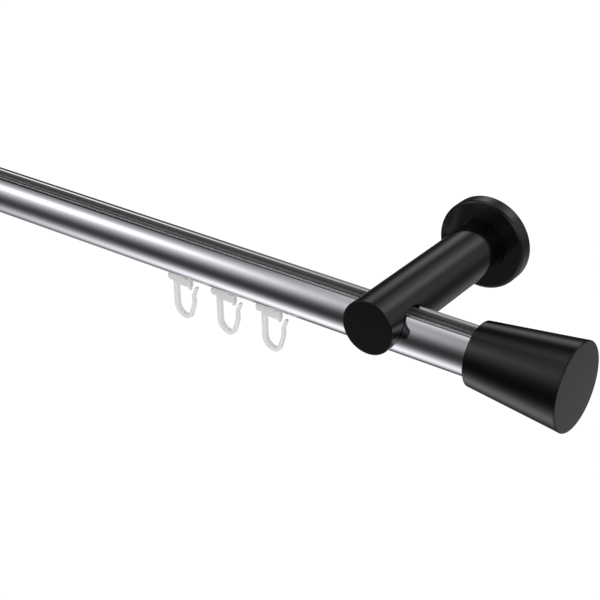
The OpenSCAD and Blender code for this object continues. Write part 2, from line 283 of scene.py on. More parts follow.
def prism(outline, place, start, end, edge=0.0, hole=None, lengths=1):
    """Closed mesh of an outline drawn out between two distances, with bevelled ends."""
    bm = bmesh.new()
    loops = [outline] + ([hole] if hole else [])
    stations = [(start + edge + (end - start - 2 * edge) * k / lengths, 0)
                for k in range(lengths + 1)]
    if edge:
        stations = [(start, edge)] + stations + [(end, edge)]
    caps = {0: [], len(stations) - 1: []}
    for which, loop in enumerate(loops):
        n = len(loop)
        inward = []
        for i in range(n):
            step = Vector(loop[(i + 1) % n]) - Vector(loop[i - 1])
            inward.append(Vector((-step.y, step.x)).normalized())
        area = sum(loop[i - 1][0] * loop[i][1] - loop[i][0] * loop[i - 1][1] for i in range(n))
        turn = (1 if area > 0 else -1) * (-1 if which else 1)
        rings = []
        for k, (w, inset) in enumerate(stations):
            flat = [Vector(p) + inward[i] * inset * turn for i, p in enumerate(loop)]
            ring = [bm.verts.new(place(p.x, p.y, w) * MM) for p in flat]
            rings.append(ring)
            if k in caps:
                caps[k].append(([p.to_3d() for p in flat], ring))
        for a, b in zip(rings, rings[1:]):
            for i in range(n):
                bm.faces.new((a[i - 1], a[i], b[i], b[i - 1]))
    for parts in caps.values():
        ring = [v for _, verts in parts for v in verts]
        for triangle in tessellate_polygon([flat for flat, _ in parts]):
            bm.faces.new([ring[i] for i in triangle])
    bmesh.ops.recalc_face_normals(bm, faces=bm.faces)
    return bm


def mesh_from(bm, name):
    """A mesh with the shape of a bmesh, which is freed."""
    mesh = bpy.data.meshes.new(name)
    bm.to_mesh(mesh)
    bm.free()
    return mesh


def piece(name, mesh, material, slot, body, *nodes):
    """A finished piece: smooth but for its sharp edges, on its body, for its CAD nodes."""
    mesh.name = name
    mesh.materials.clear()
    mesh.materials.append(material)
    mesh.polygons.foreach_set("use_smooth", [True] * len(mesh.polygons))
    mesh.set_sharp_from_angle(angle=math.radians(SHARP_ANGLE))
    obj = bpy.data.objects.new(name, mesh)
    scene.collection.objects.link(obj)
    even = obj.modifiers.new("even_normals", "WEIGHTED_NORMAL")
    even.keep_sharp = True
    obj.data = applied(obj)
    obj.modifiers.clear()
    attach(obj, body)
    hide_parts(*nodes)
    return obj


def applied(obj):
    """The mesh of an object with its modifiers applied."""
    bpy.context.view_layer.update()
    seen = obj.evaluated_get(bpy.context.evaluated_depsgraph_get())
    return bpy.data.meshes.new_from_object(seen)


def finish_tree(name):
    """A new material with its tree, its shader and the object's coordinates."""
    material = bpy.data.materials.new(name)
    material.use_nodes = True
    tree = material.node_tree
    place = add_node(tree, "ShaderNodeTexCoord").outputs["Object"]
    return material, tree, tree.nodes["Principled BSDF"], place


def stretched_noise(tree, place, scale, detail=2.0):
    """Noise that is stretched by different scales along X, Y and Z."""
    wide = add_node(tree, "ShaderNodeVectorMath", {0: place, 1: scale}, operation="MULTIPLY")
    return add_node(tree, "ShaderNodeTexNoise", {"Vector": wide.outputs[0], "Scale": 1.0,
                                                 "Detail": detail, "Roughness": 0.55}).outputs[0]


def between(tree, value, low, high):
    """Maps a value from 0..1 to low..high."""
    return add_node(tree, "ShaderNodeMapRange", {"Value": value, "To Min": low,
                                                 "To Max": high}).outputs[0]


def tinted(tree, value, low, high):
    """Mixes two colours, each written out or made by other nodes, by a value."""
    mix = add_node(tree, "ShaderNodeMix", {0: value}, data_type="RGBA")
    first, second, result = mix.inputs[6], mix.inputs[7], mix.outputs[2]
    for socket, colour in ((first, low), (second, high)):
        if isinstance(colour, tuple):
            socket.default_value = (*colour, 1)
        else:
            tree.links.new(colour, socket)
    return result


def bumped(tree, shader, height, strength, distance):
    """Gives a shader the relief of a height value."""
    bump = add_node(tree, "ShaderNodeBump", {"Height": height, "Strength": strength,
                                             "Distance": distance})
    tree.links.new(bump.outputs[0], shader.inputs["Normal"])


def chrome():
    """Bright chrome outside, with faint polishing lines and hazy patches, and painted shade
    as darker lines along both edges of the groove. It doesn't reach into the groove and
    the channel, where the pressed metal is matt and streaked and coloured dark as painted
    shade, with a painted highlight on the floor and a lighter painted line above it."""
    material, tree, shader, place = finish_tree("bright_chrome")
    centre = add_node(tree, "ShaderNodeVectorMath", {0: place, 1: (0, -ROD_Y * MM, -ROD_Z * MM)},
                      operation="ADD").outputs[0]
    across_rod = add_node(tree, "ShaderNodeVectorMath", {0: centre, 1: (0, 1, 1)},
                          operation="MULTIPLY").outputs[0]
    radius = add_node(tree, "ShaderNodeVectorMath", {0: across_rod}, operation="LENGTH")
    inside = add_node(tree, "ShaderNodeMapRange", {
        "Value": radius.outputs["Value"], "From Min": (ROD_R - PLATED_DEPTH) * MM,
        "From Max": (ROD_R - BARE_DEPTH) * MM}, interpolation_type="SMOOTHSTEP").outputs[0]
    lines = stretched_noise(tree, place, (25, 2600, 2600), detail=3)
    haze = stretched_noise(tree, place, (30, 90, 90))
    bright = tinted(tree, haze, (0.70, 0.705, 0.72), (0.78, 0.785, 0.80))
    streaks = stretched_noise(tree, place, (3, 1300, 1300))
    # Painted shade: the matt, streaked metal inside the groove and the channel is coloured dark,
    # as shade in the recess.
    inside_streaks_and_painted_light = tinted(tree, streaks, (0.05, 0.05, 0.05), (0.16, 0.16, 0.163))
    sides = add_node(tree, "ShaderNodeSeparateXYZ", {"Vector": centre}).outputs
    level = math_node(tree, "ABSOLUTE", sides["Z"])
    # Painted highlights: a pale line on the groove's floor, where it faces the light, and a
    # lighter line on the wall above it.
    painted_groove_highlights = ((WEB_Z, 0.15, 0.90), (WEB_Z + 1.1, 0.7, 0.32))
    for middle, reach, pale in painted_groove_highlights:
        off = math_node(tree, "ABSOLUTE", math_node(tree, "SUBTRACT", level, middle * MM))
        line = add_node(tree, "ShaderNodeMapRange", {
            "Value": off, "From Min": reach * MM, "From Max": reach * 0.3 * MM}).outputs[0]
        inside_streaks_and_painted_light = tinted(tree, line, inside_streaks_and_painted_light, (pale, pale, pale * 1.01))
    on_top = math_node(tree, "GREATER_THAN", sides["Z"], 0.0)
    # Painted shade: darker lines along both edges of the groove, much darker along the front edge
    # than the back.
    painted_groove_edge_shade = ((-4.8, 0.35, 0.15, 0.14), (4.3, 1.3, 0.3, 0.52))
    for middle, reach, full, shade in painted_groove_edge_shade:
        from_edge = math_node(tree, "ABSOLUTE", math_node(
            tree, "SUBTRACT", sides["Y"], middle * MM))
        line = add_node(tree, "ShaderNodeMapRange", {
            "Value": from_edge, "From Min": reach * MM, "From Max": full * MM}).outputs[0]
        line = math_node(tree, "MULTIPLY", line, on_top)
        bright = tinted(tree, line, bright, (shade, shade, shade * 1.02))
    tree.links.new(tinted(tree, inside, bright, inside_streaks_and_painted_light), shader.inputs["Base Color"])
    tree.links.new(between(tree, inside, 1.0, 0.1), shader.inputs["Metallic"])
    polish = math_node(tree, "ADD", between(tree, lines, 0.02, 0.05),
                       between(tree, haze, 0.02, 0.04))
    rough = math_node(tree, "ADD", polish, math_node(tree, "MULTIPLY", inside, 0.4))
    tree.links.new(rough, shader.inputs["Roughness"])
    bumped(tree, shader, lines, strength=0.02, distance=0.00001)
    return material


groove_at, groove_meets = mouth(GROOVE_W, GROOVE_EDGE)
slot_at, slot_meets = mouth(SLOT_W, SLOT_EDGE)
half = rounded([(0, WEB_Z, 0), (CHANNEL_W / 2, WEB_Z, WEB_ROUND),
                (CHANNEL_W / 2, LIP_Z, CORNER_ROUND), (GROOVE_W / 2, LIP_Z, LIP_ROUND),
                (GROOVE_W / 2, groove_at[1], 0)])
half += arc(groove_at, GROOVE_EDGE, 180, groove_meets, steps=24)[1:]
half += arc((0, 0), ROD_R, groove_meets, -slot_meets, steps=120)[1:]
half += arc((slot_at[0], -slot_at[1]), SLOT_EDGE, -slot_meets, -180, steps=16)[1:]
half += rounded([(SLOT_W / 2, -slot_at[1], 0), (SLOT_W / 2, -LIP_Z, LIP_ROUND),
                 (CHANNEL_W / 2, -LIP_Z, CORNER_ROUND), (CHANNEL_W / 2, -WEB_Z, WEB_ROUND),
                 (0, -WEB_Z, 0)])[1:]
core_z = WEB_Z - ROD_WALL
core_u = math.sqrt((ROD_R - ROD_WALL) ** 2 - core_z ** 2)
core = mirrored(rounded([(0, core_z, 0), (core_u, core_z, CORE_ROUND),
                         (core_u + CORE_BULGE, 0, 0), (core_u, -core_z, CORE_ROUND),
                         (0, -core_z, 0)]))
rod_chrome = chrome()
tube = prism(mirrored(half), along_x, rod_low.x, rod_high.x, hole=core, lengths=60)
piece("rod_tube", mesh_from(tube, "rod_tube"), rod_chrome, "rod_chrome", "root", "rod")

# Wall discs. Turned steel discs with a boss, zinc plated, screwed to the wall through
# two countersunk holes. They show from behind and under the covers.
HOLE_R, SINK_R, HOLE_SPACING = 2.2, 4.0, 25
BOSS_R, BOSS_LEN = 7.0, 12
DISC_EDGE, BOSS_EDGE, OVERCUT = 0.3, 0.5, 1


def turned(profile, matrix, closed=False, segments=144):
    """Mesh of a profile of (radius, distance) turned round the Z axis of a matrix."""
    bm = bmesh.new()
    angles = [2 * math.pi * k / segments for k in range(segments)]
    rings = []
    for radius, distance in profile:
        spots = [(radius * math.cos(a), radius * math.sin(a), distance) for a in angles]
        if radius < 1e-6:
            spots = [(0, 0, distance)]
        rings.append([bm.verts.new(matrix @ Vector(p) * MM) for p in spots])
    for a, b in zip(rings, rings[1:] + (rings[:1] if closed else [])):
        for i in range(segments):
            corners = (a[(i - 1) % len(a)], a[i % len(a)], b[i % len(b)], b[(i - 1) % len(b)])
            if len(set(corners)) > 2:
                bm.faces.new(dict.fromkeys(corners))
    bmesh.ops.recalc_face_normals(bm, faces=bm.faces)
    return bm


def combined(mesh, other, operation="DIFFERENCE"):
    """The mesh cut by, or joined with, another closed mesh."""
    pair = []
    for part in (mesh, other):
        pair.append(bpy.data.objects.new("part", part))
        scene.collection.objects.link(pair[-1])
    cut = pair[0].modifiers.new("cut", "BOOLEAN")
    cut.operation = operation
    cut.solver = "MANIFOLD"
    cut.object = pair[1]
    result = applied(pair[0])
    for part in pair:
        bpy.data.objects.remove(part)
    return result


def wall_axis(side):
    """Matrix of an arm's axis: its Z runs from the wall forward."""
    return (Matrix.Translation((middle_mm(side + "_arm").x, 0, 0))
            @ Matrix.Rotation(math.radians(90), 4, "X"))


def zinc():
    """Dull zinc plate with turning rings round each disc's middle."""
    material, tree, shader, place = finish_tree("zinc_plate")
    arm_place = middle_mm("right_arm").x * MM
    both = add_node(tree, "ShaderNodeVectorMath", {0: place}, operation="ABSOLUTE").outputs[0]
    from_axis = add_node(tree, "ShaderNodeVectorMath", {0: both, 1: (arm_place, 0, 0)},
                         operation="SUBTRACT").outputs[0]
    flat = add_node(tree, "ShaderNodeVectorMath", {0: from_axis, 1: (1, 0, 1)},
                    operation="MULTIPLY").outputs[0]
    distance = add_node(tree, "ShaderNodeVectorMath", {0: flat}, operation="LENGTH")
    rings = add_node(tree, "ShaderNodeTexNoise", {
        "W": math_node(tree, "MULTIPLY", distance.outputs["Value"], 5000), "Scale": 1.0,
        "Detail": 2.0}, noise_dimensions="1D").outputs[0]
    spots = stretched_noise(tree, place, (350, 350, 350), detail=4)
    tree.links.new(tinted(tree, spots, (0.50, 0.50, 0.50), (0.66, 0.66, 0.65)),
                   shader.inputs["Base Color"])
    shader.inputs["Metallic"].default_value = 1
    tree.links.new(math_node(tree, "ADD", between(tree, rings, 0.16, 0.30),
                             between(tree, spots, 0.0, 0.12)), shader.inputs["Roughness"])
    bumped(tree, shader, rings, strength=0.15, distance=0.00003)
    return material


zinc_plate = zinc()
for side in ("left", "right"):
    low, high = box_mm(side + "_wall_disc")
    disc_r, disc_end = (high.x - low.x) / 2, -low.y
    disc_t = disc_end - BOSS_LEN
    disc = mesh_from(turned(
        rounded([(0, 0, 0), (disc_r, 0, DISC_EDGE), (disc_r, disc_t, DISC_EDGE),
                 (BOSS_R, disc_t, DISC_EDGE), (BOSS_R, disc_end, BOSS_EDGE), (0, disc_end, 0)]),
        wall_axis(side)), "disc")
    for hole_z in (-HOLE_SPACING / 2, HOLE_SPACING / 2):
        sink = turned([(0, -OVERCUT), (HOLE_R, -OVERCUT), (HOLE_R, disc_t - SINK_R + HOLE_R),
                       (SINK_R, disc_t), (SINK_R, disc_t + OVERCUT), (0, disc_t + OVERCUT)],
                      wall_axis(side) @ Matrix.Translation((0, hole_z, 0)), segments=48)
        disc = combined(disc, mesh_from(sink, "sink"))
    piece(side + "_mounting_disc", disc, zinc_plate, "disc_steel", "root", side + "_wall_disc")

# Arms. Solid round bars of aluminium, cross bored for the rod, bored at the back for
# the disc's boss, with all edges broken, coated glossy black.
HOLE_GAP, HOLE_ROUND, FRONT_ROUND = 0.3, 0.3, 0.4
BOSS_GAP, SOCKET_EDGE = 0.05, 0.1
GRUB_HOLE_R, CLAMP_SLOPE, PAST_SKIN = 2.05, 20, 30


def sheet(bm, rows, closed=False):
    """Quads between rows of points; a closed sheet joins each row's ends."""
    lines = [[bm.verts.new(Vector(p) * MM) for p in row] for row in rows]
    for a, b in zip(lines, lines[1:]):
        for i in range(0 if closed else 1, len(a)):
            bm.faces.new((a[i - 1], a[i], b[i], b[i - 1]))


def arm_mesh(side):
    """The arm's skin: columns along its length, which part round the rod's bore."""
    inner, outer, across, bends = 96, 48, 16, 6
    low, high = box_mm(side + "_arm")
    middle_x, radius = (low.x + high.x) / 2, (high.x - low.x) / 2
    bore = ROD_R + HOLE_GAP
    edge_r, edge_bore = radius - HOLE_ROUND, bore + HOLE_ROUND
    top = math.degrees(math.acos(-(ROD_Z + edge_bore) / edge_r))

    def at(angle, r, y):
        """Point at an angle from straight below, a radius and a depth."""
        a = math.radians(angle)
        return (middle_x + r * math.sin(a), y, -r * math.cos(a))

    def swing(angle):
        """How far round the bore, from its top, the edge lies at an angle of the arm."""
        level = (-edge_r * math.cos(math.radians(angle)) - ROD_Z) / edge_bore
        return math.acos(max(-1, min(1, level)))

    parted = [top * math.sin(math.radians(-90 + 180 * k / inner)) for k in range(inner + 1)]
    rest = [top + (360 - 2 * top) * k / outer for k in range(1, outer)]
    columns = [(a, swing(a)) for a in parted] + [(a, 0) for a in rest]
    front, back = low.y + FRONT_ROUND, high.y - HOLE_ROUND
    bm = bmesh.new()
    for limit, way, rows in ((front, -1, 10), (back, 1, 24)):
        sheet(bm, [[at(a, radius, limit + (ROD_Y + way * edge_bore * math.sin(b) - limit)
                       * k / rows) for a, b in columns] for k in range(rows + 1)], closed=True)
        ring = []
        for a in parted:
            b = swing(a)
            centre = Vector(at(a, edge_r, ROD_Y + way * edge_bore * math.sin(b)))
            out = (Vector(at(a, 1, 0)) - Vector((middle_x, 0, 0))).normalized()
            into = Vector((0, -way * math.sin(b), -math.cos(b)))
            swept = out.angle(into)
            ring.append([centre + HOLE_ROUND * (out * math.sin(swept * (1 - k / bends))
                                                + into * math.sin(swept * k / bends))
                         / math.sin(swept) for k in range(bends + 1)])
        sheet(bm, ring)
        sheet(bm, [[ring[i][-1].lerp(ring[-1 - i][-1], k / across) for k in range(across + 1)]
                   for i in range(inner // 2 + 1)])
    boss, boss_end = BOSS_R + BOSS_GAP, BOSS_LEN - high.y
    for profile in (
            arc((radius - FRONT_ROUND, -low.y - FRONT_ROUND), FRONT_ROUND, 0, 90, bends)
            + [(radius * 0.6, -low.y), (radius * 0.25, -low.y), (0, -low.y)],
            rounded([(radius, -back, 0), (radius, -high.y, HOLE_ROUND * 0.99),
                     (boss, -high.y, HOLE_ROUND), (boss, boss_end, SOCKET_EDGE),
                     (0, boss_end, 0)])):
        sheet(bm, [[at(a, r, -y) for a, _ in columns] for r, y in profile], closed=True)
    bmesh.ops.remove_doubles(bm, verts=bm.verts, dist=1e-4 * MM)
    bmesh.ops.dissolve_degenerate(bm, edges=bm.edges, dist=1e-5 * MM)
    bmesh.ops.recalc_face_normals(bm, faces=bm.faces)
    return mesh_from(bm, side + "_arm")


def bored(mesh, matrix, start, end, radius=GRUB_HOLE_R):
    """The mesh with a plain hole along the Z axis of a matrix."""
    drill = turned([(0, start), (radius, start), (radius, end), (0, end)], matrix, segments=48)
    return combined(mesh, mesh_from(drill, "drill"))


def clamp_axis(side):
    """Axis of the screw that clamps the rod, from the rod's middle back and down."""
    return (Matrix.Translation((middle_mm(side + "_arm").x, ROD_Y, ROD_Z))
            @ Matrix.Rotation(math.radians(-90 - CLAMP_SLOPE), 4, "X"))


def below_axis(node):
    """Axis through a screw's middle that points down."""
    middle = middle_mm(node)
    return Matrix.Translation((middle.x, middle.y, 0)) @ Matrix.Rotation(math.pi, 4, "X")


def black_coat():
    """Glossy black coat: faint orange peel, and a haze that varies over the surface. On the
    covers, next to the wall, a paler base colour is painted light that lifts their shaded faces."""
    material, tree, shader, place = finish_tree("black_coat")
    peel = stretched_noise(tree, place, (900, 900, 900))
    haze = stretched_noise(tree, place, (60, 60, 60), detail=3)
    grit = stretched_noise(tree, place, (5000, 5000, 5000))
    coat = tinted(tree, haze, (0.0012, 0.0012, 0.0013), (0.0022, 0.0022, 0.0024))
    cover_face = box_mm("right_rosette")[0].y
    depth = add_node(tree, "ShaderNodeSeparateXYZ", {"Vector": place}).outputs["Y"]
    # Painted light: the covers get a paler base colour, which brightens their shaded faces.
    cover_painted_light = add_node(tree, "ShaderNodeMapRange", {
        "Value": depth, "From Min": (cover_face - 0.4) * MM,
        "From Max": (cover_face - 0.1) * MM}).outputs[0]
    tree.links.new(tinted(tree, cover_painted_light, coat, (0.0050, 0.0050, 0.0052)),
                   shader.inputs["Base Color"])
    rough = math_node(tree, "ADD", between(tree, haze, 0.05, 0.12), between(tree, grit, 0, 0.05))
    tree.links.new(rough, shader.inputs["Roughness"])
    shader.inputs["IOR"].default_value = 1.5
    bumped(tree, shader, peel, strength=0.05, distance=0.00004)
    return material


black = black_coat()
for side in ("left", "right"):
    arm = arm_mesh(side)
    arm = bored(arm, below_axis(side + "_arm_screw"), BOSS_R - OVERCUT, BOSS_R * 2)
    arm = bored(arm, clamp_axis(side), ROD_R - 2 * OVERCUT, PAST_SKIN)
    piece(side + "_bracket_arm", arm, black, "black_metal", "root", side + "_arm")

# Grub screws. Short headless steel screws with a hexagon socket: one from below holds
# the arm on its boss, and one from behind clamps the rod in the arm.
PITCH_SHARE, THREAD_SHARE, POINT_SHARE = 0.175, 0.13, 0.2
CLAMP_GRUB_LEN, CLAMP_GRUB_R, POINT_GAP = 5, 2, 0.05
KEY, SMALL_KEY, KEY_DEPTH = 2, 1.5, 2


def geometry_tree(name, sockets):
    """A geometry tree with named inputs, and the nodes for its inputs and output."""
    tree = bpy.data.node_groups.new(name, "GeometryNodeTree")
    tree.interface.new_socket("Geometry", in_out="INPUT", socket_type="NodeSocketGeometry")
    for label, kind in sockets:
        tree.interface.new_socket(label, in_out="INPUT", socket_type="NodeSocket" + kind)
    tree.interface.new_socket("Geometry", in_out="OUTPUT", socket_type="NodeSocketGeometry")
    return tree, add_node(tree, "NodeGroupInput").outputs


def finish_geometry(tree, shape, material):
    """Ends a tree: real meshes, with the finish set."""
    real = add_node(tree, "GeometryNodeRealizeInstances", {"Geometry": shape})
    coated = add_node(tree, "GeometryNodeSetMaterial", {"Geometry": real.outputs[0],
                                                        "Material": material})
    add_node(tree, "NodeGroupOutput", {"Geometry": coated.outputs[0]})


def grown(mesh, tree, **values):
    """The mesh that a geometry tree makes from a start mesh and its named inputs."""
    obj = bpy.data.objects.new("grown", mesh)
    scene.collection.objects.link(obj)
    shape = obj.modifiers.new("shape", "NODES")
    shape.node_group = tree
    for item in tree.interface.items_tree:
        if item.in_out == "INPUT" and item.name.replace(" ", "_") in values:
            shape[item.identifier] = values[item.name.replace(" ", "_")]
    result = applied(obj)
    obj.modifiers.clear()
    bpy.data.objects.remove(obj)
    return result


def grub_tree():
    """A threaded pin along Z: rings of thread, broken ends and a hexagon socket."""
    tree, given = geometry_tree("grub_screw", (
        ("Radius", "Float"), ("Length", "Float"), ("Turns", "Int"), ("Socket", "Float"),
        ("Socket Depth", "Float"), ("Finish", "Material")))
    end = add_node(tree, "ShaderNodeCombineXYZ", {"Z": given["Length"]}).outputs[0]
    line = add_node(tree, "GeometryNodeCurvePrimitiveLine", {"End": end})
    count = math_node(tree, "MULTIPLY_ADD", given["Turns"], 2)
    count.node.inputs[2].default_value = 3
    cuts = add_node(tree, "GeometryNodeResampleCurve", {"Curve": line.outputs[0], "Count": count})
    index = add_node(tree, "GeometryNodeInputIndex").outputs[0]
    odd = math_node(tree, "MODULO", index, 2.0)
    last = math_node(tree, "SUBTRACT", count, 1.0)
    from_end = math_node(tree, "MINIMUM", index, math_node(tree, "SUBTRACT", last, index))
    at_end = math_node(tree, "LESS_THAN", from_end, 0.5)
    worn = math_node(tree, "ADD", math_node(tree, "MULTIPLY", odd, THREAD_SHARE),
                     math_node(tree, "MULTIPLY", at_end, POINT_SHARE))
    width = math_node(tree, "SUBTRACT", 1.0, worn)
    round_line = add_node(tree, "GeometryNodeCurvePrimitiveCircle",
                          {"Resolution": 48, "Radius": given["Radius"]})
    pin = add_node(tree, "GeometryNodeCurveToMesh", {
        "Curve": cuts.outputs[0], "Profile Curve": round_line.outputs[0], "Scale": width,
        "Fill Caps": True})
    key = add_node(tree, "GeometryNodeMeshCylinder", {
        "Vertices": 6, "Radius": given["Socket"],
        "Depth": math_node(tree, "MULTIPLY", given["Socket Depth"], 2.0)})
    raised = add_node(tree, "GeometryNodeTransform", {"Geometry": key.outputs[0],
                                                      "Translation": end})
    cut = add_node(tree, "GeometryNodeMeshBoolean", {
        "Mesh 1": pin.outputs[0], "Mesh 2": raised.outputs[0]}, operation="DIFFERENCE",
        solver="MANIFOLD")
    finish_geometry(tree, cut.outputs[0], given["Finish"])
    return tree


def screw_steel():
    """Bright steel, finely scratched by the tools that drive it."""
    material, tree, shader, place = finish_tree("screw_steel")
    scratches = stretched_noise(tree, place, (3000, 3000, 600), detail=3)
    tree.links.new(tinted(tree, scratches, (0.42, 0.42, 0.43), (0.58, 0.58, 0.59)),
                   shader.inputs["Base Color"])
    shader.inputs["Metallic"].default_value = 1
    tree.links.new(between(tree, scratches, 0.18, 0.4), shader.inputs["Roughness"])
    bumped(tree, shader, scratches, strength=0.1, distance=0.00002)
    return material


grub = grub_tree()
steel = screw_steel()


def screw(name, node, matrix, length, radius, key=KEY):
    """One grub screw in its place, for its CAD node. The key's size is across its flats."""
    turns = max(3, round(length / (radius * 2 * PITCH_SHARE)))
    mesh = grown(bpy.data.meshes.new("pin"), grub, Radius=radius * MM, Length=length * MM,
                 Turns=turns, Socket=key / 2 / math.cos(math.pi / 6) * MM,
                 Socket_Depth=min(KEY_DEPTH, length / 2) * MM, Finish=steel)
    mesh.transform(Matrix.Translation(matrix.translation * MM) @ matrix.to_3x3().to_4x4())
    piece(name, mesh, steel, "screw_steel", "root", node)


for side in ("left", "right"):
    node = side + "_arm_screw"
    low, high = box_mm(node)
    screw(side + "_arm_grub", node, below_axis(node) @ Matrix.Translation((0, 0, -high.z)),
          high.z - low.z, (high.x - low.x) / 2)
    screw(side + "_rod_grub", side + "_rod_screw",
          clamp_axis(side) @ Matrix.Translation((0, 0, ROD_R + POINT_GAP)),
          CLAMP_GRUB_LEN, CLAMP_GRUB_R)

# Covers. Turned black caps that slide along the arm over the wall disc and hide its
# screws.
COVER_FRONT, COVER_RIM, COVER_GAP = 1.3, 1.5, 0.2
COVER_ROUND, HOLE_EDGE, RIM_EDGE = 1.3, 0.12, 0.2
UNDER_EDGE, INSIDE_ROUND = 0.1, 0.6
for side in ("left", "right"):
    low, high = box_mm(side + "_rosette")
    radius, depth = (high.x - low.x) / 2, high.y - low.y
    arm_low, arm_high = box_mm(side + "_arm")
    hole = (arm_high.x - arm_low.x) / 2 + COVER_GAP
    inside, under = radius - COVER_RIM, depth - COVER_FRONT
    cap = rounded([(radius, 0, RIM_EDGE), (radius, depth, COVER_ROUND), (hole, depth, HOLE_EDGE),
                   (hole, under, UNDER_EDGE), (inside, under, INSIDE_ROUND),
                   (inside, 0, RIM_EDGE)], closed=True)
    piece(side + "_cover_cap", mesh_from(turned(cap, wall_axis(side), closed=True, segments=192),
                                         "cover"),
          black, "black_metal", side + "_cover", side + "_rosette")

# Finials. Solid turned cones, bored to slip over the rod's ends and held by a grub
# screw at the back, coated like the arms.
SMALL_END_R, FINIAL_EDGE = 12.9, 0.5
BORE_DEPTH, BORE_ROUND = 21.1, 0.2
for side, way in (("left", -1), ("right", 1)):
    low, high = box_mm(side + "_finial")
    length, wide = high.x - low.x, (high.y - low.y) / 2
    face = low.x if way > 0 else high.x
    axis = (Matrix.Translation((face, ROD_Y, ROD_Z))
            @ Matrix.Rotation(math.radians(90 * way), 4, "Y"))
    bore = ROD_R + HOLE_GAP
    cone = mesh_from(turned(rounded([
        (0, BORE_DEPTH, 0), (bore, BORE_DEPTH, BORE_ROUND), (bore, 0, HOLE_ROUND),
        (SMALL_END_R, 0, FINIAL_EDGE), (wide, length, FINIAL_EDGE), (0, length, 0)]),
        axis, segments=192), "cone")
    node = side + "_finial_screw"
    screw_low, screw_high = box_mm(node)
    screw_axis = (Matrix.Translation((middle_mm(node).x, ROD_Y, ROD_Z))
                  @ Matrix.Rotation(-math.pi / 2, 4, "X"))
    cone = bored(cone, screw_axis, ROD_R - OVERCUT, wide + 2 * OVERCUT)
    piece(side + "_end_cone", cone, black, "black_metal", "root", side + "_finial")
    screw(side + "_finial_grub", node,
          screw_axis @ Matrix.Translation((0, 0, screw_low.y - ROD_Y)),
          screw_high.y - screw_low.y, (screw_high.x - screw_low.x) / 2)

# End stops. Small moulded blocks in the glider channel, each held by a screw that
# presses on the web.
RUN_GAP, THREAD_GAP, BLOCK_EDGE = 0.3, 0.05, 0.25
TOP_ROUND, FOOT_ROUND = 0.3, 0.7


def channel_block(height):
    """Outline of a block that rests on the lips of the glider channel."""
    side, top = CHANNEL_W / 2 - RUN_GAP, -LIP_Z + height
    return rounded([(side, top, TOP_ROUND), (side, -LIP_Z, FOOT_ROUND),
                    (-side, -LIP_Z, FOOT_ROUND), (-side, top, TOP_ROUND)], closed=True)


def pale_plastic(name, low, high):
    """Pale moulded plastic: slightly see-through, with flow marks and a fine texture."""
    material, tree, shader, place = finish_tree(name)
    flow = stretched_noise(tree, place, (160, 400, 160), detail=3)
    grain = stretched_noise(tree, place, (3500, 3500, 3500))
    tree.links.new(tinted(tree, flow, low, high), shader.inputs["Base Color"])
    tree.links.new(between(tree, flow, 0.3, 0.42), shader.inputs["Roughness"])
    shader.inputs["Specular IOR Level"].default_value = 0.15
    shader.inputs["Subsurface Weight"].default_value = 0.9
    shader.inputs["Subsurface Radius"].default_value = (1.0, 1.0, 1.0)
    shader.inputs["Subsurface Scale"].default_value = 0.0015
    bumped(tree, shader, grain, strength=0.1, distance=0.00002)
    return material


stop_plastic = pale_plastic("stop_plastic", (0.70, 0.70, 0.69), (0.78, 0.78, 0.77))
for side in ("left", "right"):
    low, high = box_mm(side + "_end_stop")
    node = side + "_stop_screw"
    screw_low, screw_high = box_mm(node)
    screw_r = (screw_high.x - screw_low.x) / 2
    block = mesh_from(prism(channel_block(high.z - low.z), along_x, low.x, high.x, BLOCK_EDGE),
                      "stop")
    down = below_axis(node)
    block = bored(block, down, -ROD_Z - ROD_R, -ROD_Z + ROD_R, screw_r + THREAD_GAP)
    piece(side + "_stop_block", block, stop_plastic, "stop_plastic", "root", side + "_end_stop")
    screw(side + "_stop_grub", node, down @ Matrix.Translation((0, 0, -screw_high.z)),
          screw_high.z - screw_low.z, screw_r, SMALL_KEY)

# Runners. Moulded heads that ride on the channel's two lips, with a neck that goes
# down through the slot and a tongue that the hook clips on.
HEAD_H, NECK_W, NECK_LEN, BAR_DROP = 3.2, 3.2, 7.0, 1.5
TONGUE_W, TONGUE_LEN, TONGUE_H = 2.0, 5.0, 2.0
HEAD_EDGE, STALK_EDGE = 0.4, 0.1
NECK_ROUND, TONGUE_ROUND, ROOT = 0.2, 0.1, 1
BAR_TOP = ROD_R + BAR_DROP
GLIDERS = [name[-2:] for name in sorted(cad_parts) if name.startswith("runner_")]


def plate(half_width, bottom, top, radius):
    """Outline of an upright rectangle with rounded corners."""
    return rounded([(half_width, top, radius), (half_width, bottom, radius),
                    (-half_width, bottom, radius), (-half_width, top, radius)], closed=True)


runner_plastic = pale_plastic("runner_plastic", (0.72, 0.72, 0.71), (0.80, 0.80, 0.79))
for number in GLIDERS:
    low, high = box_mm("runner_" + number)
    middle = (low.x + high.x) / 2
    runner = mesh_from(prism(channel_block(HEAD_H), along_x, low.x, high.x, HEAD_EDGE), "head")
    neck = plate(NECK_W / 2, -BAR_TOP, -LIP_Z + ROOT, NECK_ROUND)
    tongue = plate(TONGUE_W / 2, -BAR_TOP - TONGUE_H, -BAR_TOP + ROOT, TONGUE_ROUND)
    for outline, reach in ((neck, NECK_LEN), (tongue, TONGUE_LEN)):
        stalk = mesh_from(prism(outline, along_x, middle - reach / 2, middle + reach / 2,
                                STALK_EDGE), "stalk")
        runner = combined(runner, stalk, "UNION")
    piece("runner_body_" + number, runner, runner_plastic, "runner_plastic", "glider_" + number,
          "runner_" + number)

